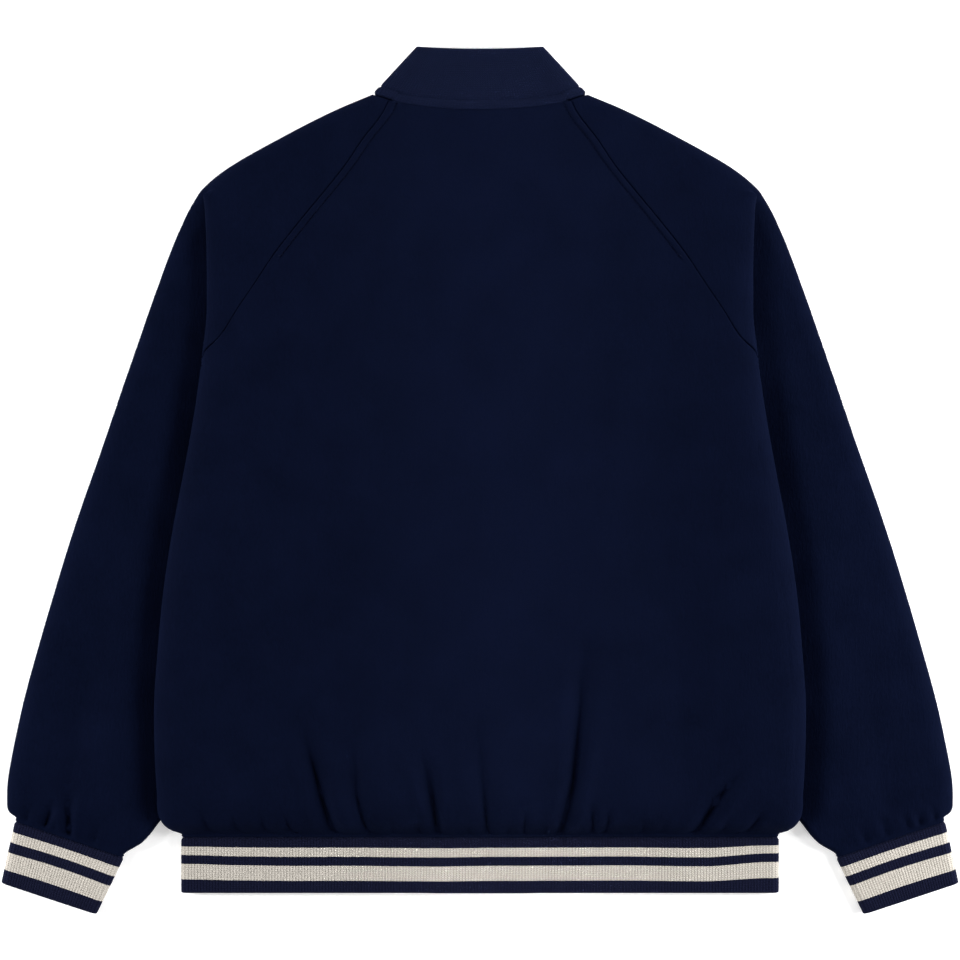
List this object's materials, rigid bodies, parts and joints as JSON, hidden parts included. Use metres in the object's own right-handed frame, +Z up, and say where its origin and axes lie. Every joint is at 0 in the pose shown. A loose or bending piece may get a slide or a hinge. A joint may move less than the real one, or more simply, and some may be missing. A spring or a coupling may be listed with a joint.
{
  "type": "varsity jacket",
  "caption": "Navy wool varsity jacket lying flat on its front, with raglan sleeves, a knitted stand collar, and a striped knitted hem band and cuffs.",
  "frame": {"origin": "centre of the jacket's outline on the surface it lies on", "axes": "+Z up from the surface towards the back panel's outside, +Y from the hem to the collar, +X towards the wearer's right sleeve"},
  "size_m": [0.8402, 0.7624, 0.0332],
  "materials": {
    "navy_wool": "matte",
    "navy_rib": "matte",
    "snap_metal": "satin"
  },
  "bodies": {
    "root": {"back": "navy_wool", "front_left": "navy_wool", "front_right": "navy_wool", "sleeve_left": "navy_wool", "sleeve_right": "navy_wool", "collar": "navy_rib", "hem_band": "navy_rib", "cuff_left": "navy_rib", "cuff_right": "navy_rib", "snap_1": "snap_metal", "snap_2": "snap_metal", "snap_3": "snap_metal", "snap_4": "snap_metal", "snap_5": "snap_metal", "snap_6": "snap_metal", "snap_7": "snap_metal"}
  },
  "joints": []
}
